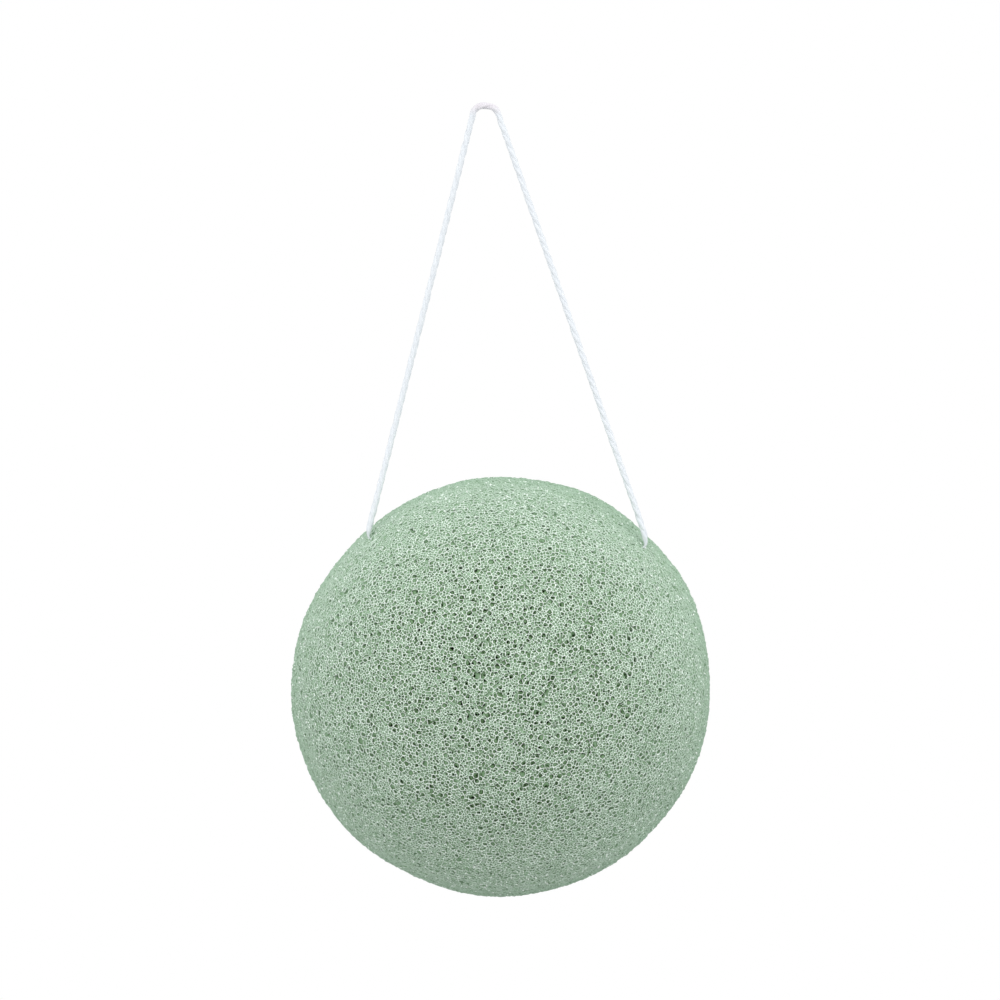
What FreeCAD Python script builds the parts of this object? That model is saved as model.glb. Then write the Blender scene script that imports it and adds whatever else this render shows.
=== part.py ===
import FreeCAD, Part
import math
import os

# Konjac face sponge: a half ball of foam that hangs from a loop of string.
# Lengths are millimetres and angles degrees. +X is right, +Y away from the viewer, +Z up.
# The origin is the inside of the loop's bend, where the loop rests on a peg.

# Sponge: a dome on a rounded rim, with a flat back
SPONGE_DIAMETER = 80.0
DOME_HEIGHT = 34.0
RIM_RADIUS = 5.0
SPONGE_RIGHT = 2.93  # from the peg to the middle of the sponge
SPONGE_DROP = 110.1
CORD_DEPTH = 15.2  # from the flat back to the plane of the cord

# Cord: one string through the sponge, with its two ends tied inside
CORD_DIAMETER = 1.2
KNOT_WRAPS = 3
CHANNEL_CLEARANCE = 0.08

# Room in the foam for the loop to swing where it comes out
SWING_TO_BACK = 30.0
SWING_TO_FRONT = 90.0
SWING_CLEARANCE = 0.2
MOUTH_DIAMETER = 3.2
MOUTH_REACH = 8.0
MOUTH_WIDTH = 5.0

# Share of a run that an arc may take at each of its ends
ARC_SHARE = 0.45

# Route of the free loop in the plane of the cord, as x and z: up the left leg, over the peg
# and down the right leg. The first and last runs lie along the channel through the sponge.
LOOP_ROUTE = [
    (-19.7, -81.806),
    (-21.3, -81.75),
    (-22.34, -80.48),
    (-21.52, -76.57),
    (-1.94, CORD_DIAMETER / 2),
    (1.94, CORD_DIAMETER / 2),
    (29.35, -78.29),
    (30.67, -82.19),
    (29.7, -83.535),
    (28.1, -83.479),
]


def in_cord_plane(point):
    """A point of the route, in space."""
    x, z = point
    return FreeCAD.Vector(x, 0, z)


ROUTE = [in_cord_plane(point) for point in LOOP_ROUTE]
CHANNEL_START = ROUTE[0]
CHANNEL_END = ROUTE[-1]
CHANNEL_VECTOR = CHANNEL_END - CHANNEL_START
CHANNEL_DIRECTION = FreeCAD.Vector(CHANNEL_VECTOR).normalize()

KNOT_MIDDLE = (CHANNEL_START + CHANNEL_END) / 2
KNOT_LENGTH = KNOT_WRAPS * CORD_DIAMETER
KNOT_DIAMETER = 3 * CORD_DIAMETER  # the wraps lie round the string itself
KNOT_LEFT_END = KNOT_MIDDLE - CHANNEL_DIRECTION * (KNOT_LENGTH / 2)
KNOT_RIGHT_END = KNOT_MIDDLE + CHANNEL_DIRECTION * (KNOT_LENGTH / 2)


def unit(start, end):
    """Direction from one point to another."""
    return (end - start).normalize()


def round_bar(start, end, diameter):
    """Straight cylinder from one point to another."""
    return Part.makeCylinder(diameter / 2, (end - start).Length, start, end - start)


def rounded_path(points):
    """Wire of straight runs joined by tangent arcs, each as large as its two runs allow."""
    edges = []
    radii = []
    start = points[0]
    for before, corner, after in zip(points, points[1:], points[2:]):
        back = unit(corner, before)
        ahead = unit(corner, after)
        reach = ARC_SHARE * min((before - corner).Length, (after - corner).Length)
        half_inside = back.getAngle(ahead) / 2
        radius = reach * math.tan(half_inside)
        inwards = (back + ahead).normalize()
        nearest = corner + inwards * (radius / math.sin(half_inside) - radius)
        arc_start = corner + back * reach
        arc_end = corner + ahead * reach
        edges.append(Part.LineSegment(start, arc_start).toShape())
        edges.append(Part.Arc(arc_start, nearest, arc_end).toShape())
        radii.append(radius)
        start = arc_end
    edges.append(Part.LineSegment(start, points[-1]).toShape())
    return Part.Wire(edges), radii


def hanging_loop():
    """Free loop of the cord, as a round tube along its route."""
    path, radii = rounded_path(ROUTE)
    section = Part.Wire(Part.makeCircle(CORD_DIAMETER / 2, ROUTE[0], unit(ROUTE[0], ROUTE[1])))
    tube = path.makePipeShell([section], True, False)
    expected = math.pi * CORD_DIAMETER ** 2 / 4 * path.Length
    print("loop length", round(path.Length, 2))
    print("loop bend radii", [round(radius, 2) for radius in radii])
    print("loop volume over section times length", round(tube.Volume / expected, 5))
    return tube


def buried_cord_left():
    """Cord inside the sponge, from the left mouth to the knot."""
    return round_bar(CHANNEL_START, KNOT_LEFT_END, CORD_DIAMETER)


def buried_cord_right():
    """Cord inside the sponge, from the knot to the right mouth."""
    return round_bar(KNOT_RIGHT_END, CHANNEL_END, CORD_DIAMETER)


def end_knot():
    """Knot of the cord's two ends: wraps side by side round the channel's line."""
    across = CHANNEL_DIRECTION.cross(FreeCAD.Vector(0, 1, 0))
    wrap_radius = CORD_DIAMETER / 2
    waist = KNOT_DIAMETER / 2 - wrap_radius

    def spot(along, out):
        return KNOT_LEFT_END + CHANNEL_DIRECTION * along + across * out

    edges = [Part.LineSegment(spot(0, 0), spot(0, waist))]
    for wrap in range(KNOT_WRAPS):
        first = wrap * CORD_DIAMETER
        top = spot(first + wrap_radius, waist + wrap_radius)
        edges.append(Part.Arc(spot(first, waist), top, spot(first + CORD_DIAMETER, waist)))
    edges.append(Part.LineSegment(spot(KNOT_LENGTH, waist), spot(KNOT_LENGTH, 0)))
    edges.append(Part.LineSegment(spot(KNOT_LENGTH, 0), spot(0, 0)))
    profile = Part.Face(Part.Wire([edge.toShape() for edge in edges]))
    return profile.revolve(KNOT_LEFT_END, CHANNEL_DIRECTION, 360)


def foam_blank():
    """Whole half ball before it is pierced: flat back, quarter-round rim and elliptical dome."""
    radius = SPONGE_DIAMETER / 2
    back = CORD_DEPTH
    widest = back - RIM_RADIUS
    apex = widest - DOME_HEIGHT
    flat_radius = radius - RIM_RADIUS
    rim_middle = RIM_RADIUS * math.sqrt(0.5)

    def spot(out, y):
        return FreeCAD.Vector(SPONGE_RIGHT + out, y, -SPONGE_DROP)

    flat = Part.LineSegment(spot(0, back), spot(flat_radius, back))
    rim_top = spot(flat_radius + rim_middle, widest + rim_middle)
    rim = Part.Arc(spot(flat_radius, back), rim_top, spot(radius, widest))
    dome = Part.BezierCurve()
    dome.setPoles([spot(radius, widest), spot(radius, apex), spot(0, apex)])
    dome.setWeight(2, math.sqrt(0.5))
    middle = Part.LineSegment(spot(0, apex), spot(0, back))
    profile = Part.Face(Part.Wire([edge.toShape() for edge in (flat, rim, dome, middle)]))
    return profile.revolve(spot(0, 0), FreeCAD.Vector(0, 1, 0), 360)


def mouth(points):
    """Room for the cord where it bends out of the sponge, at one end of the route.

    The points run outwards from the channel. A round hole holds the bend. Above it, a flat
    profile that lies outside a line beside the cord turns about the channel with the swing."""
    runs = [unit(start, end) for start, end in zip(points, points[1:])]
    turn = runs[0].cross(runs[1])
    sides = [turn.cross(run).normalize() for run in runs]
    gap = CORD_DIAMETER / 2 + SWING_CLEARANCE
    outside = points[1] + runs[0] * MOUTH_WIDTH
    leg_end = points[-2] + runs[-1] * MOUTH_REACH
    profile = [points[0], points[0] + sides[0] * gap]
    for corner, side, next_side in zip(points[1:-1], sides, sides[1:]):
        profile.append(corner + (side + next_side) * (gap / (1 + side.dot(next_side))))
    profile.append(leg_end + sides[-1] * gap)
    profile.append(leg_end - sides[-1] * MOUTH_WIDTH)
    profile.append(outside)
    profile.append(points[0])
    face = Part.Face(Part.makePolygon(profile))
    cord_half_angle = math.degrees(math.asin(min(1, 2 * gap / MOUTH_DIAMETER)))
    face.rotate(CHANNEL_START, CHANNEL_DIRECTION, -SWING_TO_BACK - cord_half_angle)
    swing = SWING_TO_BACK + SWING_TO_FRONT + 2 * cord_half_angle
    swept = face.revolve(CHANNEL_START, CHANNEL_DIRECTION, swing)
    hole = round_bar((points[0] + points[1]) / 2, outside, MOUTH_DIAMETER)
    return swept.fuse(hole)


def sponge():
    """Foam with its channel, the pocket round the knot and the two mouths."""
    bore = CORD_DIAMETER + 2 * CHANNEL_CLEARANCE
    channel = round_bar(ROUTE[1], ROUTE[-2], bore)
    pocket_slack = CHANNEL_DIRECTION * CHANNEL_CLEARANCE
    pocket_diameter = KNOT_DIAMETER + 2 * CHANNEL_CLEARANCE
    pocket = round_bar(KNOT_LEFT_END - pocket_slack, KNOT_RIGHT_END + pocket_slack, pocket_diameter)
    left_mouth = mouth(ROUTE[:5])
    right_mouth = mouth(ROUTE[:-6:-1])
    return foam_blank().cut([channel, pocket, left_mouth, right_mouth])


NODES = {
    "sponge": sponge,
    "hanging_loop": hanging_loop,
    "buried_cord_left": buried_cord_left,
    "buried_cord_right": buried_cord_right,
    "end_knot": end_knot,
}


os.makedirs("parts", exist_ok=True)
for name, make in NODES.items():
    shape = make()
    shape.exportStep(os.path.join("parts", name + ".step"))
    print(name, "valid", shape.isValid(), "solids", len(shape.Solids), "volume", round(shape.Volume, 2))
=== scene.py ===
import math

import bpy
import numpy as np
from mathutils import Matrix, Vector, kdtree


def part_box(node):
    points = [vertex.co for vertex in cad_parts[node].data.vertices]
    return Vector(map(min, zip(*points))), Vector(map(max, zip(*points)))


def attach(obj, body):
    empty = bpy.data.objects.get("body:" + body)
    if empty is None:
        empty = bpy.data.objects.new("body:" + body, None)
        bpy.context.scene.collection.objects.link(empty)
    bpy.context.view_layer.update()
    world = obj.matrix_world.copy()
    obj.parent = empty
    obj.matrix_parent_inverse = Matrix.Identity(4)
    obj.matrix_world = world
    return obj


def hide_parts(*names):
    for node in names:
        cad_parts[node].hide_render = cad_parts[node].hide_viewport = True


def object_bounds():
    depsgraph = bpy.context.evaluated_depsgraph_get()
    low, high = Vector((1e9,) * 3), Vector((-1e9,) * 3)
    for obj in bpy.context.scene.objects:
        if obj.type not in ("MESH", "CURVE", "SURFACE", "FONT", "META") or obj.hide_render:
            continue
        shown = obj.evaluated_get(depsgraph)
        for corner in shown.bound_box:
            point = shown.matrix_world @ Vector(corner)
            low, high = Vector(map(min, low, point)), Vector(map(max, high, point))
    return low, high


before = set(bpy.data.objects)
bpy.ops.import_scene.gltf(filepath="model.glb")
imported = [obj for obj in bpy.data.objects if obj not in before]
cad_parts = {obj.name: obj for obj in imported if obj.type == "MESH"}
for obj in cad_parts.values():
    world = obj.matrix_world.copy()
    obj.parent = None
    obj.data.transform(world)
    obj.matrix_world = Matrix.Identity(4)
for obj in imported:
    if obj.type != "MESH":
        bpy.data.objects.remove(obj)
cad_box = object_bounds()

# Konjac sponge on its string, in metres. +X is right, -Y faces the camera, +Z is up, and the
# origin is the inside of the loop's bend, where it rests on a peg.

# The photograph: its scale, and the pixel of the peg
PHOTO_SIZE = 1000
PIXELS_PER_METRE = 5250.0
PEG_PIXEL = (485.0, 109.2)
CAMERA_DISTANCE = 1.5
SCALE_PLANE = 0.005  # y at which the scale holds
SENSOR_WIDTH = 0.036

# Route of the free loop in the plane of the string, as x and z, from the left mouth over the peg
# to the right one. The legs are pulled straight, so each has a point near the peg and its mouth.
STRING_DIAMETER = 0.0012
LEFT_LEG = [
    (-0.0197, -0.081806),
    (-0.0212, -0.0822),
    (-0.0222, -0.0815),
    (-0.0221, -0.0803),
    (-0.02115, -0.0764),
    (-0.02018, -0.07271),
    (-0.00262, -0.0026),
]
BEND = [
    (-0.00194, 0.00042),
    (0.00194, 0.00042),
]
RIGHT_LEG = [
    (0.00305, -0.0026),
    (0.02808, -0.07441),
    (0.02925, -0.0778),
    (0.0305, -0.0814),
    (0.0305, -0.0839),
    (0.0281, -0.083479),
]

# String: three soft strands twisted to the left, and the knot that ends them inside the sponge
STRANDS = 3
STRAND_SHARE = 0.68  # a strand's radius over the string's
LAY_LENGTH = 0.0066
RING_STEP = 0.0002
STRAND_SIDES = 12
STRAND_WANDER = 0.25  # how far a strand strays from its even twist, in radians
WANDER_RINGS = 20  # rings from one stray to the next
STRAND_UNEVENNESS = 0.06  # how much a strand's thickness varies
UNEVEN_RINGS = 12
BEND_FLATTENING = 0.12  # how much wider the string is pressed over the peg
PRESSED_HEIGHT = 0.002  # over which it widens
SQUEEZE = 0.75  # how much thinner it is where the foam grips it at its mouths
SQUEEZE_LENGTH = 0.0014
LEFT_SQUEEZE = 0.0021  # from the loop's left end to there
RIGHT_SQUEEZE = 0.0019
KNOT_MIDDLE = (0.0042, -0.0826425)
KNOT_LENGTH = 0.0036
KNOT_RADIUS = 0.0012  # from its middle line to that of the string wound round it
KNOT_TURNS = 3
KNOT_POINTS = 400
KNOT_TAPER = 0.3  # least share of its radius, where its ends run into the string
FIBRE_STRETCH = (18, 0.7, 1)
FIBRE_BUMP = 0.3
FIBRE_HEIGHT = 0.00004
RUBBED_FROM = -0.0015  # z at which the string begins to be rubbed by the peg
RUBBED_TO = 0.0002

# Sponge: the rounded rim round its flat back, and how fine each of the surface's six patches is
RIM_RADIUS = 0.005
PATCH_CELLS = 560
OUTLINE_POINTS = 3000
MAP_MARGIN = 0.004
MAP_SIZE = 0.325

# Its slow unevenness: heights, and the longest waves of each
SWELL_WAVES = 14
LUMP_HEIGHT = 0.00010
LUMP_LENGTH = 0.03
RAGGEDNESS = 0.00004  # how far the walls' tops rise and fall
RAGGED_LENGTH = 0.002
RIM_LUMPS = 0.00006
RIM_LUMP_LENGTHS = (0.0035, 0.0013)
RIM_LUMP_POWER = 4  # how closely they keep to the rim
RIM_START = 0.55  # share of the sponge's radius where its rim begins
RIM_SPAN = 0.45

# Dents in front of the two mouths, where the string lies when the sponge swings up: place, depth, width
MOUTH_DENTS = [
    ((-0.02215, -0.0013, -0.0817), 0.0005, 0.0014),
    ((0.0304, -0.0011, -0.0836), 0.0003, 0.0011),
]

# Torn wall ends, which stand up and catch the light, and are painted the palest wall colour without the
# painted limb shade: painted glints
TORN_ENDS = 4000
TORN_HEIGHT = (0.00004, 0.00014)
TORN_ON_FACE = 0.15  # how many of them the middle of the face has for one near the rim
TORN_NEAR_RIM = 6.75  # brings the most crowded band to one

# Dents and swellings of the sponge's outline, seen from the front: angle from +X and half width in
# degrees, and height
OUTLINE_LUMPS = [
    (137, 26, -0.00085),
    (62, 13, 0.00055),
    (28, 12, 0.00045),
    (240, 11, -0.00025),
    (345, 18, 0.00015),
]
OUTLINE_POWER = 20  # how closely they keep to the rim

# Foam cells: smallest and largest radius, how many are tried over the whole surface, how far apart
# they stay for their sizes, and their darkest and palest floor
CELL_CLASSES = [
    (0.00052, 0.00068, 180, 1.20, 0.30, 0.50),
    (0.00033, 0.00048, 8000, 1.10, 0.15, 0.50),
    (0.00021, 0.00031, 45000, 1.00, 0.25, 0.80),
    (0.00013, 0.00020, 230000, 1.00, 0.40, 1.00),
]
SMALL_CELL_BIAS = 1.6  # above 1 there are more small cells in a class than large ones
FINE_CELL = 0.00021
CELL_WARP = 0.00006  # how far their walls wander
WARP_LENGTH = 0.0016
CORNER_ROUNDING = 0.00004
WALL_UNEVENNESS = 0.000012  # how much thicker or thinner a wall gets along its way
UNEVENNESS_LENGTH = 0.0012
BROKEN_WALLS = 0.04  # share of the walls between two cells that are missing
LUCK_NUMBERS = 4096  # random numbers that settle which
WALL_SLOPE = 0.00016  # from the top of a wall to where a cell's floor begins
SLOPE_LIMIT = 0.7  # most of a cell's radius that the slope takes up
BOWL_DEPTH = (0.5, 1.0)  # a cell's depth over its radius
STEEP_SHARE = 0.7  # part of that depth which is at the walls
ROUND_SHARE = 0.3
WALL_RANGE = 0.0003  # distance from a wall that the material can tell apart
SNAP = 0.00004  # points this near to a wall's top are put on it
HOLE_CHANCES = (0.45, 0.25, 0.15)  # that a cell opens into the ones below, once, twice and again
FINE_HOLE_SHARE = 0.2  # of these chances for a fine cell
HOLE_PLACE = (0.4, 0.8)  # a hole's distance from the middle of its cell, over the cell's radius
HOLE_SIZE = (0.3, 0.55)  # a hole's radius over the cell's
FINE_HOLE_PLACE = 0.1
FINE_HOLE_SIZE = 1.0
HOLE_DEPTH = 0.0010
HOLE_SLOPE = 0.0001
HOLE_MARGIN = 0.00003  # least distance of a hole from the cell's walls
FLOOR_MOTTLING = 0.10
MOTTLING_LENGTH = 0.0007
FLOOR_LEAN = 0.35  # how much deeper a cell is on one side
LEAN_SHADE = 0.16  # how much darker its floor is painted there, as painted shade on the deeper side
RING_CELLS = (0.00020, 0.00036)  # radii of cells whose walls begin to stand out, and stand out most
RING_HEIGHT = 0.00004
RING_WIDTH = 0.5  # how much the thickness of walls differs
SEED = 7

# Light: white surroundings, brighter near the horizon than overhead, and one soft lamp from above, in
# front and a little to the right
HORIZON_LIGHT = 1.60
OVERHEAD_LIGHT = 0.44
SUN_LIGHT = 0.30
SUN_SPREAD = 60.0
SUN_FROM = (0.06, -0.5, 0.85)
FLOOR_DROP = 0.2
FLOOR_SIZE = 2.5
FLOOR_COLOUR = 0.56


def photo_point(pixel):
    """X and z of a pixel of the photograph, in the plane of the string."""
    x = (pixel[0] - PEG_PIXEL[0]) / PIXELS_PER_METRE
    z = (PEG_PIXEL[1] - pixel[1]) / PIXELS_PER_METRE
    return x, z


def add_object(name, data):
    """A new object in the scene."""
    piece = bpy.data.objects.new(name, data)
    bpy.context.scene.collection.objects.link(piece)
    return piece


def add_camera():
    """Camera straight in front, framed as the photograph is."""
    x, z = photo_point((PHOTO_SIZE / 2, PHOTO_SIZE / 2))
    camera = bpy.data.cameras.new("camera")
    camera.sensor_width = SENSOR_WIDTH * 1000
    camera.lens = camera.sensor_width * (CAMERA_DISTANCE + SCALE_PLANE) * PIXELS_PER_METRE / PHOTO_SIZE
    camera.clip_start = 0.01
    camera.clip_end = 20
    eye = add_object("camera", camera)
    eye.location = (x, -CAMERA_DISTANCE, z)
    eye.rotation_euler = (math.pi / 2, 0, 0)
    bpy.context.scene.camera = eye


# Materials


def new_material(name):
    """A node material, its tree and its shader."""
    material = bpy.data.materials.new(name)
    material.use_nodes = True
    shader = material.node_tree.nodes["Principled BSDF"]
    return material, material.node_tree, shader


def colour_ramp(tree, stops):
    """A ramp node through colours at the given places from 0 to 1."""
    node = tree.nodes.new("ShaderNodeValToRGB")
    elements = node.color_ramp.elements
    elements[0].position, elements[0].color = stops[0][0], (*stops[0][1], 1)
    elements[1].position, elements[1].color = stops[-1][0], (*stops[-1][1], 1)
    for place, colour in stops[1:-1]:
        elements.new(place).color = (*colour, 1)
    return node


def colour_mix(tree, share, low, high):
    """A mix of two colour outputs by a value output."""
    node = tree.nodes.new("ShaderNodeMix")
    node.data_type = "RGBA"
    tree.links.new(share, node.inputs["Factor"])
    tree.links.new(low, node.inputs["A"])
    tree.links.new(high, node.inputs["B"])
    return node.outputs["Result"]


def blend_towards(tree, share, most, colour, target):
    """A colour output taken towards a plain colour by up to a part of the way."""
    limit = tree.nodes.new("ShaderNodeMath")
    limit.operation = "MULTIPLY"
    limit.inputs[1].default_value = most
    tree.links.new(share, limit.inputs[0])
    node = tree.nodes.new("ShaderNodeMix")
    node.data_type = "RGBA"
    node.inputs["B"].default_value = (*target, 1)
    tree.links.new(limit.outputs["Value"], node.inputs["Factor"])
    tree.links.new(colour, node.inputs["A"])
    return node.outputs["Result"]


def read_value(tree, name):
    """A value that the mesh carries for each point."""
    node = tree.nodes.new("ShaderNodeAttribute")
    node.attribute_name = name
    return node.outputs["Fac"]


def ramp_from(tree, value, stops):
    """The colour that a ramp gives for a value."""
    node = colour_ramp(tree, stops)
    tree.links.new(value, node.inputs["Fac"])
    return node.outputs["Color"]


def foam_material():
    """Konjac foam: pale thin cell walls, and greener floors painted darker than the walls, partly as shade
    in the cells. Painted shade at the foot of the walls and on each floor's deeper side, holes painted near
    black as shade, walls round larger cells painted paler as a highlight, and painted limb shade and haze
    towards the sponge's edge.
    """
    material, tree, shader = new_material("konjac_foam")
    inside = read_value(tree, "inside")
    hole = read_value(tree, "hole")
    # Floor colours by each cell's tone, all far darker than the walls; that darkness is partly painted shade
    # in the cells
    floors = ramp_from(tree, read_value(tree, "tone_and_lean_shade"), [
        (0.0, (0.04, 0.085, 0.03)), (0.3, (0.17, 0.295, 0.15)), (1.0, (0.405, 0.57, 0.415))])
    # Floors painted darker at the foot of the walls and paler towards the middle of the cell: painted shade
    # in the crease
    painted_foot_shade = ramp_from(tree, read_value(tree, "tone_and_lean_shade"), [
        (0.0, (0.015, 0.04, 0.01)), (0.3, (0.055, 0.115, 0.04)), (1.0, (0.23, 0.35, 0.23))])
    foot_shade_fade = ramp_from(tree, inside, [(0.42, (0, 0, 0)), (0.75, (1, 1, 1))])
    floors_with_foot_shade = colour_mix(tree, foot_shade_fade, painted_foot_shade, floors)
    thin_walls = ramp_from(tree, inside, [(0.0, (0.86, 0.98, 0.89)), (0.25, (0.59, 0.76, 0.61))])
    # Walls round larger cells are raised and thicker, and are also painted paler: a painted highlight on
    # their rims
    rings = ramp_from(tree, inside, [(0.0, (0.93, 1.00, 0.95)), (0.25, (0.68, 0.83, 0.70))])
    walls = colour_mix(tree, read_value(tree, "ring"), thin_walls, rings)
    # From wall colour to floor colour going into a cell: the darker floors are partly painted shade in the
    # recess
    in_cell = ramp_from(tree, inside, [(0.10, (0, 0, 0)), (0.30, (1, 1, 1))])
    # Towards the sponge's edge the pale walls are painted darker and the floors taken towards a mid green,
    # most at the very edge: painted limb shade and painted haze
    rim = read_value(tree, "rim")
    limb_shade_stops = [(0.0, (0, 0, 0)), (0.6, (0.25, 0.25, 0.25)), (0.9, (0.62, 0.62, 0.62)), (1.0, (1, 1, 1))]
    limb_shade_share = ramp_from(tree, rim, limb_shade_stops)
    limb_shaded_walls = blend_towards(tree, limb_shade_share, 1.0, walls, (0.415, 0.585, 0.44))
    limb_hazed_floors = blend_towards(tree, rim, 0.6, floors_with_foot_shade, (0.32, 0.48, 0.33))
    cells = colour_mix(tree, in_cell, limb_shaded_walls, limb_hazed_floors)
    # Holes are painted near black: painted shade in the deeper cells they open into
    in_hole = ramp_from(tree, hole, [(0.5, (0, 0, 0)), (0.57, (1, 1, 1))])
    painted_hole_shade = ramp_from(tree, hole, [(0.5, (0.03, 0.06, 0.02)), (0.6, (0.005, 0.012, 0.003))])
    open_foam = colour_mix(tree, in_hole, cells, painted_hole_shade)
    tree.links.new(open_foam, shader.inputs["Base Color"])
    shader.inputs["Roughness"].default_value = 0.6
    shader.inputs["Specular IOR Level"].default_value = 0.15
    return material


def string_material():
    """White cotton with fine fibres along each strand, a little rubbed where it bends over the peg."""
    material, tree, shader = new_material("cotton_string")
    nodes, links = tree.nodes, tree.links
    along = nodes.new("ShaderNodeUVMap")
    along.uv_map = "strand"
    stretch = nodes.new("ShaderNodeMapping")
    stretch.inputs["Scale"].default_value = FIBRE_STRETCH
    links.new(along.outputs["UV"], stretch.inputs["Vector"])
    fibres = nodes.new("ShaderNodeTexNoise")
    fibres.inputs["Scale"].default_value = 1
    fibres.inputs["Detail"].default_value = 3
    links.new(stretch.outputs["Vector"], fibres.inputs["Vector"])
    cotton = ramp_from(tree, fibres.outputs["Fac"], [(0.3, (0.73, 0.78, 0.83)), (0.7, (0.85, 0.88, 0.91))])
    rubbed = ramp_from(tree, fibres.outputs["Fac"], [(0.3, (0.72, 0.69, 0.74)), (0.7, (0.80, 0.78, 0.82))])
    place = nodes.new("ShaderNodeTexCoord")
    height = nodes.new("ShaderNodeSeparateXYZ")
    links.new(place.outputs["Object"], height.inputs["Vector"])
    near_peg = nodes.new("ShaderNodeMapRange")
    near_peg.inputs["From Min"].default_value = RUBBED_FROM
    near_peg.inputs["From Max"].default_value = RUBBED_TO
    links.new(height.outputs["Z"], near_peg.inputs["Value"])
    colour = colour_mix(tree, near_peg.outputs["Result"], cotton, rubbed)
    links.new(colour, shader.inputs["Base Color"])
    bump = nodes.new("ShaderNodeBump")
    bump.inputs["Strength"].default_value = FIBRE_BUMP
    bump.inputs["Distance"].default_value = FIBRE_HEIGHT
    links.new(fibres.outputs["Fac"], bump.inputs["Height"])
    links.new(bump.outputs["Normal"], shader.inputs["Normal"])
    shader.inputs["Roughness"].default_value = 0.9
    shader.inputs["Sheen Weight"].default_value = 0.3
    return material


# String


def string_line(points):
    """Points along the route's smooth line, read from its spline."""
    curve = bpy.data.curves.new("string_line", "CURVE")
    curve.dimensions = "3D"
    curve.resolution_u = 32
    spline = curve.splines.new("NURBS")
    spline.points.add(len(points) - 1)
    for target, (x, z) in zip(spline.points, points):
        target.co = (x, 0, z, 1)
    spline.order_u = 3
    spline.use_endpoint_u = True
    holder = add_object("string_line", curve)
    mesh = bpy.data.meshes.new_from_object(holder)
    line = np.array([tuple(vertex.co) for vertex in mesh.vertices])
    bpy.data.objects.remove(holder)
    bpy.data.meshes.remove(mesh)
    bpy.data.curves.remove(curve)
    return line


def even_steps(line, step):
    """The line's points at even distances."""
    runs = np.linalg.norm(np.diff(line, axis=0), axis=1)
    travelled = np.concatenate([[0], np.cumsum(runs)])
    count = max(2, int(round(travelled[-1] / step)) + 1)
    wanted = np.linspace(0, travelled[-1], count)
    return np.stack([np.interp(wanted, travelled, line[:, k]) for k in range(3)], axis=1)


def line_frames(line, across):
    """Two directions square to a line at each of its points.

    The line never runs along the direction across."""
    tangents = np.gradient(line, axis=0)
    tangents /= np.linalg.norm(tangents, axis=1)[:, None]
    first = np.cross(tangents, across)
    first /= np.linalg.norm(first, axis=1)[:, None]
    second = np.cross(tangents, first)
    return first, second


def tube_mesh(name, lines, radii, across):
    """Closed round tubes along several lines, with the turn and the millimetres along them as a map."""
    vertices = []
    faces = []
    maps = []
    turn = np.linspace(0, 2 * math.pi, STRAND_SIDES, endpoint=False)
    for line, radius in zip(lines, radii):
        base = len(vertices)
        first, second = line_frames(line, across)
        around = np.cos(turn)[None, :, None] * first[:, None] + np.sin(turn)[None, :, None] * second[:, None]
        rings = line[:, None] + around * np.asarray(radius)[:, None, None]
        vertices.extend(rings.reshape(-1, 3).tolist())
        for ring in range(len(line) - 1):
            near, far = ring * RING_STEP * 1000, (ring + 1) * RING_STEP * 1000
            low = base + ring * STRAND_SIDES
            high = low + STRAND_SIDES
            for side in range(STRAND_SIDES):
                after = (side + 1) % STRAND_SIDES
                faces.append((low + side, high + side, high + after, low + after))
                here, there = side / STRAND_SIDES, (side + 1) / STRAND_SIDES
                maps.extend([(here, near), (here, far), (there, far), (there, near)])
        last = base + (len(line) - 1) * STRAND_SIDES
        faces.append(tuple(base + side for side in range(STRAND_SIDES)))
        faces.append(tuple(last + side for side in reversed(range(STRAND_SIDES))))
        maps.extend([(0, 0)] * (2 * STRAND_SIDES))
    mesh = bpy.data.meshes.new(name)
    mesh.from_pydata(vertices, [], faces)
    layer = mesh.uv_layers.new(name="strand")
    layer.data.foreach_set("uv", np.array(maps, dtype=np.float32).ravel())
    mesh.shade_smooth()
    return mesh


def twisted_string(name, line, rng, across=(0.0, 1.0, 0.0), thickness=1.0):
    """Strands laid round a line, each a little uneven as spun cotton is."""
    strand_radius = STRAND_SHARE * STRING_DIAMETER / 2
    lay_radius = STRING_DIAMETER / 2 - strand_radius
    first, second = line_frames(line, across)
    travelled = np.arange(len(line)) * RING_STEP
    thickness = np.broadcast_to(thickness, len(line))
    near_peg = np.clip((line[:, 2] + PRESSED_HEIGHT) / PRESSED_HEIGHT, 0, 1)
    pressed = thickness * (1 + BEND_FLATTENING * near_peg)
    lines = []
    radii = []
    for strand in range(STRANDS):
        strays = travelled[::WANDER_RINGS]
        wander = np.interp(travelled, strays, rng.normal(0, STRAND_WANDER, len(strays)))
        angle = 2 * math.pi * (strand / STRANDS - travelled / LAY_LENGTH) + wander
        offset = np.cos(angle)[:, None] * first + np.sin(angle)[:, None] * second
        lines.append(line + offset * (lay_radius * thickness)[:, None])
        places = travelled[::UNEVEN_RINGS]
        uneven = np.interp(travelled, places, rng.normal(1, STRAND_UNEVENNESS, len(places)))
        radii.append(strand_radius * pressed * uneven)
    return add_object(name, tube_mesh(name, lines, radii, across))


def finish_string(piece, material, node):
    """Gives a piece of string its material and puts it in place of its solid."""
    piece.data.materials.append(material)
    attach(piece, "string")
    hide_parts(node)


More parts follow.
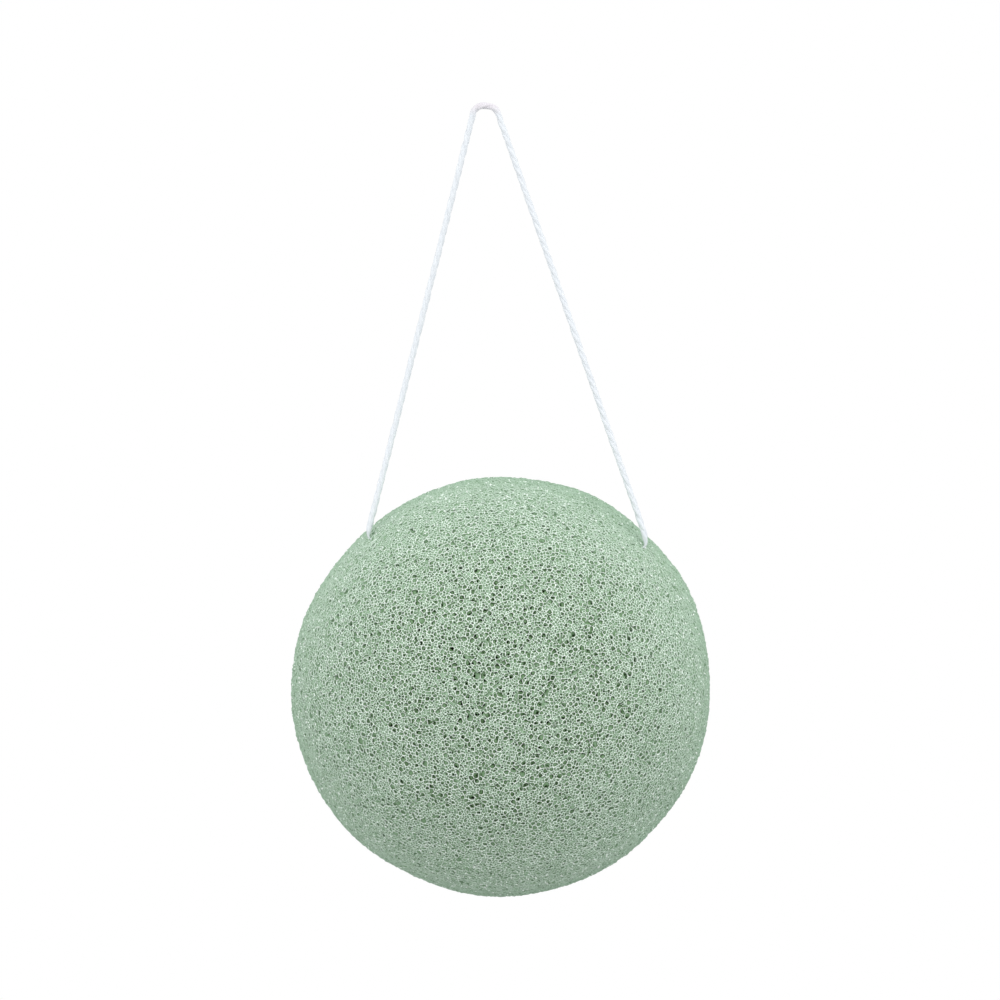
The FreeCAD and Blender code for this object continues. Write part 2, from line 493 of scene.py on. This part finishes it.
def add_string(material, rng):
    """The free loop, from mouth to mouth."""
    points = LEFT_LEG + BEND + RIGHT_LEG
    line = even_steps(string_line(points), RING_STEP)
    from_left = np.arange(len(line)) * RING_STEP
    left_grip = np.exp(-((from_left - LEFT_SQUEEZE) / SQUEEZE_LENGTH) ** 2)
    right_grip = np.exp(-((from_left[::-1] - RIGHT_SQUEEZE) / SQUEEZE_LENGTH) ** 2)
    squeezed = 1 - SQUEEZE * (left_grip + right_grip)
    loop = twisted_string("string_loop", line, rng, thickness=squeezed)
    finish_string(loop, material, "hanging_loop")


def add_buried_string(material, rng):
    """The string's two ends inside the sponge and the knot between them."""
    left = np.array([LEFT_LEG[0][0], 0, LEFT_LEG[0][1]])
    right = np.array([RIGHT_LEG[-1][0], 0, RIGHT_LEG[-1][1]])
    channel = (right - left) / np.linalg.norm(right - left)
    middle = np.array([KNOT_MIDDLE[0], 0, KNOT_MIDDLE[1]])
    half = channel * KNOT_LENGTH / 2
    for side, ends in (("left", (left, middle - half)), ("right", (middle + half, right))):
        line = even_steps(np.array(ends), RING_STEP)
        finish_string(twisted_string(f"buried_string_{side}", line, rng), material, f"buried_cord_{side}")
    turns = np.linspace(0, 2 * math.pi * KNOT_TURNS, KNOT_POINTS)
    reach = KNOT_LENGTH / 2 - STRING_DIAMETER / 2
    along = np.linspace(-reach, reach, KNOT_POINTS)
    out = KNOT_RADIUS * np.clip(np.minimum(turns, turns[-1] - turns) / 2, KNOT_TAPER, 1)
    up = np.cross(channel, (0.0, 1.0, 0.0))
    coil = middle + along[:, None] * channel
    coil[:, 1] += out * np.cos(turns)
    coil += (out * np.sin(turns))[:, None] * up
    knot = twisted_string("wound_knot", even_steps(coil, RING_STEP), rng, tuple(channel))
    finish_string(knot, material, "end_knot")


# Sponge


def sponge_sizes():
    """Middle, radius, back and apex of the sponge, from the frame."""
    low, high = (np.array(corner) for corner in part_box("sponge"))
    middle = (low + high) / 2
    return middle, (high[0] - low[0]) / 2, high[1], low[1]


def sponge_outline():
    """Outline from the apex over the rim to the middle of the flat back.

    Gives the share of the whole surface up to each point, its distance from the axis, its y,
    and its normal's part away from the axis and along y."""
    _, radius, back, apex = sponge_sizes()
    widest = back - RIM_RADIUS
    height = widest - apex
    flat = radius - RIM_RADIUS
    angle = np.linspace(0, math.pi / 2, OUTLINE_POINTS)
    turn = angle[1:]
    inward = np.linspace(flat, 0, OUTLINE_POINTS)[1:]
    out = np.concatenate([radius * np.sin(angle), flat + RIM_RADIUS * np.cos(turn), inward])
    y = np.concatenate([widest - height * np.cos(angle), widest + RIM_RADIUS * np.sin(turn),
                        np.full_like(inward, back)])
    normal_out = np.concatenate([np.sin(angle) / radius, np.cos(turn), np.zeros_like(inward)])
    normal_y = np.concatenate([-np.cos(angle) / height, np.sin(turn), np.ones_like(inward)])
    bands = np.hypot(np.diff(out), np.diff(y)) * (out[1:] + out[:-1]) / 2
    share = np.concatenate([[0], np.cumsum(bands)])
    size = np.hypot(normal_out, normal_y)
    return share / share[-1], out, y, normal_out / size, normal_y / size


def on_surface(share, angle):
    """Points and normals of the sponge's smooth form, at a share of its surface and an angle."""
    middle = sponge_sizes()[0]
    known, out, y, normal_out, normal_y = sponge_outline()
    far = np.interp(share, known, out)
    tilt = np.interp(share, known, normal_out)
    points = np.stack([middle[0] + far * np.cos(angle), np.interp(share, known, y),
                       middle[2] + far * np.sin(angle)], axis=-1)
    normals = np.stack([tilt * np.cos(angle), np.interp(share, known, normal_y),
                        tilt * np.sin(angle)], axis=-1)
    return points, normals / np.linalg.norm(normals, axis=-1, keepdims=True)


def surface_grid():
    """Six square patches that close round the sponge: points, normals, faces and a flat map."""
    half = PATCH_CELLS // 2
    line = np.arange(-half, half + 1)
    a, b = np.meshgrid(line, line, indexing="ij")
    edge = np.full_like(a, half)
    patches = [(edge, a, b), (-edge, b, a), (b, edge, a), (a, -edge, b), (a, b, edge), (b, a, -edge)]
    corners = np.concatenate([np.stack(patch, axis=-1).reshape(-1, 3) for patch in patches])
    keys = ((corners[:, 0] + half) * (4 * half) + corners[:, 1] + half) * (4 * half) + corners[:, 2] + half
    first, number = np.unique(keys, return_index=True, return_inverse=True)[1:]
    ball = np.tan(corners[first] / half * math.pi / 4)
    ball /= np.linalg.norm(ball, axis=1)[:, None]
    points, normals = on_surface((1 + ball[:, 1]) / 2, np.arctan2(ball[:, 2], ball[:, 0]))
    grids = number.reshape(6, PATCH_CELLS + 1, PATCH_CELLS + 1)
    faces = np.stack([grids[:, :-1, :-1], grids[:, 1:, :-1], grids[:, 1:, 1:], grids[:, :-1, 1:]], axis=-1)
    return points, normals, faces.reshape(-1, 4), patch_map()


def patch_map():
    """Each patch's corners as a square of its own in a map of three by two."""
    across = MAP_MARGIN + MAP_SIZE * np.arange(PATCH_CELLS + 1) / PATCH_CELLS
    a, b = np.meshgrid(across, across, indexing="ij")
    flat = np.stack([a, b], axis=-1)
    square = np.stack([flat[:-1, :-1], flat[1:, :-1], flat[1:, 1:], flat[:-1, 1:]], axis=2)
    places = [(column / 3, row / 2) for row in range(2) for column in range(3)]
    return np.concatenate([(square + np.array(place)).reshape(-1, 2) for place in places])


def random_spots(rng, count):
    """Points and normals spread evenly over the whole surface."""
    return on_surface(rng.random(count), rng.random(count) * 2 * math.pi)


def point_tree(points):
    """A search tree of points."""
    tree = kdtree.KDTree(len(points))
    for index, point in enumerate(points.tolist()):
        tree.insert(point, index)
    tree.balance()
    return tree


def scatter_cells(rng):
    """Foam cells over the surface, the large ones first, each clear of those before it.

    Gives their centres, the surface's normals there, their radii and how pale their floors are."""
    kept = np.zeros((0, 3))
    kept_normals = np.zeros((0, 3))
    kept_radii = np.zeros(0)
    tones = np.zeros(0)
    for smallest, largest, count, room, darkest, palest in CELL_CLASSES:
        points, normals = random_spots(rng, count)
        radii = smallest + (largest - smallest) * rng.random(count) ** SMALL_CELL_BIAS
        before = point_tree(kept)
        beside = point_tree(points)
        widest = kept_radii.max(initial=0)
        chosen = np.zeros(count, bool)
        for index, (point, radius) in enumerate(zip(points.tolist(), radii.tolist())):
            near = before.find_range(point, (radius + widest) * room)
            if any(gap < (radius + kept_radii[other]) * room for _, other, gap in near):
                continue
            near = beside.find_range(point, (radius + largest) * room)
            if any(chosen[other] and gap < (radius + radii[other]) * room for _, other, gap in near):
                continue
            chosen[index] = True
        kept = np.concatenate([kept, points[chosen]])
        kept_normals = np.concatenate([kept_normals, normals[chosen]])
        kept_radii = np.concatenate([kept_radii, radii[chosen]])
        tones = np.concatenate([tones, darkest + (palest - darkest) * rng.random(chosen.sum())])
    return kept, kept_normals, kept_radii, tones


def near_pairs(tree, centres, reach):
    """Each centre with each point within its reach, and how far apart they are."""
    found = [tree.find_range(centre, far) for centre, far in zip(centres.tolist(), reach.tolist())]
    cell = np.repeat(np.arange(len(centres)), [len(near) for near in found])
    spot = np.array([index for near in found for _, index, _ in near])
    gap = np.array([distance for near in found for _, _, distance in near])
    return cell, spot, gap


def wall_distances(count, tree, centres, radii, rng):
    """For each point: its cell, the nearest other cell, how far it is from the cell's walls, and the
    shift onto the nearest one.

    A cell meets its neighbours where both are as near, for their sizes. Some of these walls are missing."""
    cell, spot, gap = near_pairs(tree, centres, radii + WALL_RANGE)
    power = gap ** 2 - radii[cell] ** 2
    order = np.lexsort((power, spot))
    cell, spot, power = cell[order], spot[order], power[order]
    first = np.unique(spot, return_index=True)[1]
    luck = rng.random(LUCK_NUMBERS)
    owner = np.zeros(count, int)
    owner[spot[first]] = cell[first]
    beside = owner.copy()
    nearness = np.zeros(count)
    shift = np.zeros((count, 3))
    for step in (1, 2, 3):
        other = np.minimum(first + step, len(spot) - 1)
        between = centres[cell[other]] - centres[cell[first]]
        apart = np.maximum(np.linalg.norm(between, axis=1), 1e-9)
        distance = (power[other] - power[first]) / (2 * apart)
        whole = luck[(cell[other] + cell[first]) % LUCK_NUMBERS] > BROKEN_WALLS
        stands = (spot[other] == spot[first]) & whole
        nearness[spot[first]] += np.where(stands, np.exp(-distance / CORNER_ROUNDING), 0)
        if step == 1:
            beside[spot[first]] = np.where(spot[other] == spot[first], cell[other], cell[first])
            on_top = stands & (distance < SNAP)
            shift[spot[first]] = np.where(on_top[:, None], between * (distance / apart)[:, None], 0)
    inside = -CORNER_ROUNDING * np.log(np.maximum(nearness, 1e-9))
    return np.clip(inside, 0, WALL_RANGE), owner, beside, shift


def swell(points, longest, rng):
    """A smooth value from about -1 to 1 at each point."""
    height = np.zeros(len(points))
    for _ in range(SWELL_WAVES):
        wave = rng.normal(0, 1, 3)
        wave *= 2 * math.pi / (longest * rng.uniform(0.5, 1)) / np.linalg.norm(wave)
        height += np.sin(points @ wave + rng.uniform(0, 2 * math.pi))
    return height / math.sqrt(SWELL_WAVES)


def sideways(normals, rng):
    """A random direction along the surface at each normal."""
    aside = np.cross(normals, rng.normal(0, 1, normals.shape))
    return aside / np.linalg.norm(aside, axis=1)[:, None]


def cell_holes(tree, centres, normals, radii, lean, owner, inside, rng):
    """How far each point is inside a hole through the bottom of its cell.

    A cell's first hole is on its deeper side, and the others lie anywhere near its walls."""
    fine = radii < FINE_CELL
    hole = np.full(len(owner), -WALL_RANGE)
    aside = lean
    for chance in HOLE_CHANCES:
        opened = np.nonzero(rng.random(len(radii)) < np.where(fine, chance * FINE_HOLE_SHARE, chance))[0]
        far = radii[opened] * np.where(fine[opened], FINE_HOLE_PLACE, rng.uniform(*HOLE_PLACE, len(opened)))
        wide = radii[opened] * np.where(fine[opened], FINE_HOLE_SIZE, rng.uniform(*HOLE_SIZE, len(opened)))
        which, spot, gap = near_pairs(tree, centres[opened] + aside[opened] * far[:, None], wide)
        aside = sideways(normals, rng)
        within = np.minimum(wide[which] - gap, inside[spot] - HOLE_MARGIN)
        own = owner[spot] == opened[which]
        np.maximum.at(hole, spot[own], within[own])
    return hole


def foam_relief(points, rng):
    """Shapes the cells.

    Gives each point's shift along the surface, its depth, and the values that the material reads."""
    warped = points + CELL_WARP * np.stack([swell(points, WARP_LENGTH, rng) for _ in range(3)], axis=1)
    tree = point_tree(warped)
    centres, normals, radii, tones = scatter_cells(rng)
    inside, owner, beside, shift = wall_distances(len(points), tree, centres, radii, rng)
    inside = np.maximum(inside - WALL_UNEVENNESS * swell(points, UNEVENNESS_LENGTH, rng), 0)
    inside[np.any(shift != 0, axis=1)] = 0
    bowl = radii * rng.uniform(*BOWL_DEPTH, len(radii))
    slope = np.clip(inside / np.minimum(WALL_SLOPE, radii[owner] * SLOPE_LIMIT), 0, 1)
    curve = 1 - (1 - np.clip(inside / radii[owner], 0, 1)) ** 2
    depth = bowl[owner] * (STEEP_SHARE * np.sin(slope * math.pi / 2) + ROUND_SHARE * curve)
    lean = sideways(normals, rng)
    leaning = np.sum((warped - centres[owner]) * lean[owner], axis=1) / radii[owner]
    depth *= 1 + FLOOR_LEAN * np.clip(leaning, -1, 1)
    # Random tone for each cell and mottling, less painted shade on the deeper side of each floor
    tone_and_lean_shade = tones[owner] + FLOOR_MOTTLING * swell(points, MOTTLING_LENGTH, rng) - LEAN_SHADE * leaning
    hole = cell_holes(tree, centres, normals, radii, lean, owner, inside, rng)
    depth += HOLE_DEPTH * np.clip(hole / HOLE_SLOPE, 0, 1)
    widest = np.maximum(radii[owner], radii[beside])
    ring = np.clip((widest - RING_CELLS[0]) / (RING_CELLS[1] - RING_CELLS[0]), 0, 1)
    depth -= RING_HEIGHT * ring * (1 - slope)
    thickness = 1 + RING_WIDTH * (ring - 0.5)
    return shift, depth, {"inside": np.clip(inside / WALL_RANGE / thickness, 0, 1),
                          "hole": 0.5 + np.clip(hole / WALL_RANGE, -1, 1) / 2,
                          "tone_and_lean_shade": np.clip(tone_and_lean_shade, 0, 1), "ring": ring}


def rim_nearness(points):
    """From 0 over the middle of the face and of the flat back to 1 at the sponge's widest edge."""
    middle, radius = sponge_sizes()[:2]
    out = np.hypot(points[:, 0] - middle[0], points[:, 2] - middle[2]) / radius
    return np.clip((out - RIM_START) / RIM_SPAN, 0, 1)


def uneven_outline(points):
    """Moves points out or in round the sponge's axis, most at its rim."""
    middle, radius = sponge_sizes()[:2]
    x, z = points[:, 0] - middle[0], points[:, 2] - middle[2]
    angle = np.degrees(np.arctan2(z, x))
    swelling = np.zeros(len(points))
    for place, width, height in OUTLINE_LUMPS:
        away = (angle - place + 180) % 360 - 180
        swelling += height * np.exp(-(away / width) ** 2)
    out = np.hypot(x, z) / radius
    share = swelling * out ** OUTLINE_POWER / radius
    return np.stack([x * share, np.zeros(len(points)), z * share], axis=1)


def mouth_dents(points):
    """How far each point is pressed in by the string beside its mouth."""
    pressed = np.zeros(len(points))
    for place, depth, width in MOUTH_DENTS:
        away = np.sum((points - np.array(place)) ** 2, axis=1)
        pressed += depth * np.exp(-away / width ** 2)
    return pressed


def torn_ends(on_top, weights, faces, rng):
    """How far each point is raised where a wall has a torn end, which takes in the points beside it."""
    chances = np.where(on_top, weights, 0)
    torn = rng.choice(len(on_top), TORN_ENDS, replace=False, p=chances / chances.sum())
    raised = np.zeros(len(on_top))
    raised[torn] = rng.uniform(*TORN_HEIGHT, TORN_ENDS)
    tallest = raised[faces].max(axis=1)
    beside = raised.copy()
    np.maximum.at(beside, faces, tallest[:, None] / 2)
    return beside


def add_values(mesh, name, values):
    """One number for each point of a mesh, which its material can read."""
    layer = mesh.attributes.new(name, "FLOAT", "POINT")
    layer.data.foreach_set("value", values.astype(np.float32))


def grid_mesh(name, points, faces):
    """A mesh of four-sided faces."""
    mesh = bpy.data.meshes.new(name)
    mesh.vertices.add(len(points))
    mesh.vertices.foreach_set("co", points.astype(np.float32).ravel())
    mesh.loops.add(faces.size)
    mesh.loops.foreach_set("vertex_index", faces.astype(np.int32).ravel())
    mesh.polygons.add(len(faces))
    mesh.polygons.foreach_set("loop_start", np.arange(0, faces.size, 4, dtype=np.int32))
    mesh.update(calc_edges=True)
    mesh.shade_smooth()
    return mesh


def add_sponge(material, rng):
    """The foam with its cells."""
    points, normals, faces, flat = surface_grid()
    rim = rim_nearness(points)
    lumps = LUMP_HEIGHT * swell(points, LUMP_LENGTH, rng) + RAGGEDNESS * swell(points, RAGGED_LENGTH, rng)
    rim_swell = swell(points, RIM_LUMP_LENGTHS[0], rng) + swell(points, RIM_LUMP_LENGTHS[1], rng)
    lumps += RIM_LUMPS * rim ** RIM_LUMP_POWER * rim_swell
    shift, depth, values = foam_relief(points, rng)
    crowding = TORN_ON_FACE + TORN_NEAR_RIM * rim ** 2 * (1 - rim)
    raised = torn_ends(values["inside"] == 0, crowding, faces, rng)
    lumps += raised - mouth_dents(points)
    # Torn ends and the points beside them are painted the palest wall colour and spared the painted limb
    # shade: painted glints on real raised bumps
    values["rim"] = np.where(raised > 0, 0, rim)
    values["inside"] = np.where(raised > 0, 0, values["inside"])
    shaped = points + uneven_outline(points) + shift + normals * (lumps - depth)[:, None]
    mesh = grid_mesh("foam_body", shaped, faces)
    mesh.uv_layers.new(name="OFBake").data.foreach_set("uv", flat.astype(np.float32).ravel())
    for value, numbers in values.items():
        add_values(mesh, value, numbers)
    mesh.materials.append(material)
    foam = add_object("foam_body", mesh)
    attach(foam, "foam")
    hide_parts("sponge")


# Stage and light


def seen_directly(tree):
    """A value of 1 for what the camera sees straight on, in a mirror or through glass."""
    nodes, links = tree.nodes, tree.links
    path = nodes.new("ShaderNodeLightPath")
    either = nodes.new("ShaderNodeMath")
    either.operation = "MAXIMUM"
    links.new(path.outputs["Is Camera Ray"], either.inputs[0])
    links.new(path.outputs["Is Glossy Ray"], either.inputs[1])
    any_of = nodes.new("ShaderNodeMath")
    any_of.operation = "MAXIMUM"
    links.new(either.outputs["Value"], any_of.inputs[0])
    links.new(path.outputs["Is Transmission Ray"], any_of.inputs[1])
    return any_of.outputs["Value"]


def stage_material():
    """Pale floor that shows white, darker only in the object's shadow."""
    material = bpy.data.materials.new("pale_floor")
    material.use_nodes = True
    tree = material.node_tree
    nodes, links = tree.nodes, tree.links
    nodes.clear()
    matt = nodes.new("ShaderNodeBsdfDiffuse")
    matt.inputs["Color"].default_value = (FLOOR_COLOUR, FLOOR_COLOUR, FLOOR_COLOUR, 1)
    lift = nodes.new("ShaderNodeMath")
    lift.operation = "MULTIPLY"
    lift.inputs[1].default_value = 1 - FLOOR_COLOUR * floor_light()
    links.new(seen_directly(tree), lift.inputs[0])
    glow = nodes.new("ShaderNodeEmission")
    links.new(lift.outputs["Value"], glow.inputs["Strength"])
    both = nodes.new("ShaderNodeAddShader")
    links.new(matt.outputs["BSDF"], both.inputs[0])
    links.new(glow.outputs["Emission"], both.inputs[1])
    output = nodes.new("ShaderNodeOutputMaterial")
    links.new(both.outputs["Shader"], output.inputs["Surface"])
    return material


def floor_light():
    """Light on the open floor, where 1 shows a colour as it is written."""
    surroundings = OVERHEAD_LIGHT + (HORIZON_LIGHT - OVERHEAD_LIGHT) / 3
    return surroundings + SUN_LIGHT * Vector(SUN_FROM).normalized().z


def add_stage():
    """A wide floor below the hanging sponge."""
    level = cad_box[0][2] - FLOOR_DROP
    corners = [(-1, -1), (1, -1), (1, 1), (-1, 1)]
    mesh = bpy.data.meshes.new("floor")
    mesh.from_pydata([(x * FLOOR_SIZE, y * FLOOR_SIZE, level) for x, y in corners], [], [(0, 1, 2, 3)])
    mesh.materials.append(stage_material())
    add_object("floor", mesh)


def add_world():
    """White surroundings to the camera, and a pale light from them."""
    world = bpy.data.worlds.new("studio")
    bpy.context.scene.world = world
    world.use_nodes = True
    tree = world.node_tree
    nodes, links = tree.nodes, tree.links
    nodes.clear()
    light = nodes.new("ShaderNodeBackground")
    light.inputs["Color"].default_value = (1, 1, 1, 1)
    direction = nodes.new("ShaderNodeTexCoord")
    height = nodes.new("ShaderNodeSeparateXYZ")
    links.new(direction.outputs["Generated"], height.inputs["Vector"])
    strength = nodes.new("ShaderNodeMapRange")
    strength.inputs["To Min"].default_value = HORIZON_LIGHT
    strength.inputs["To Max"].default_value = OVERHEAD_LIGHT
    links.new(height.outputs["Z"], strength.inputs["Value"])
    links.new(strength.outputs["Result"], light.inputs["Strength"])
    seen = nodes.new("ShaderNodeBackground")
    seen.inputs["Color"].default_value = (1, 1, 1, 1)
    seen.inputs["Strength"].default_value = 1
    mix = nodes.new("ShaderNodeMixShader")
    links.new(seen_directly(tree), mix.inputs["Fac"])
    links.new(light.outputs["Background"], mix.inputs[1])
    links.new(seen.outputs["Background"], mix.inputs[2])
    output = nodes.new("ShaderNodeOutputWorld")
    links.new(mix.outputs["Shader"], output.inputs["Surface"])


def add_sun():
    """A soft lamp that lights the sponge and the floor evenly."""
    data = bpy.data.lights.new("soft_lamp", "SUN")
    data.energy = SUN_LIGHT * math.pi
    data.angle = math.radians(SUN_SPREAD)
    lamp = add_object("soft_lamp", data)
    lamp.rotation_euler = (-Vector(SUN_FROM)).to_track_quat("-Z", "Y").to_euler()


def main():
    """Builds the scene."""
    rng = np.random.default_rng(SEED)
    bpy.context.scene.view_settings.view_transform = "Standard"
    add_camera()
    cotton = string_material()
    add_string(cotton, rng)
    add_buried_string(cotton, rng)
    add_sponge(foam_material(), rng)
    add_stage()
    add_world()
    add_sun()


main()
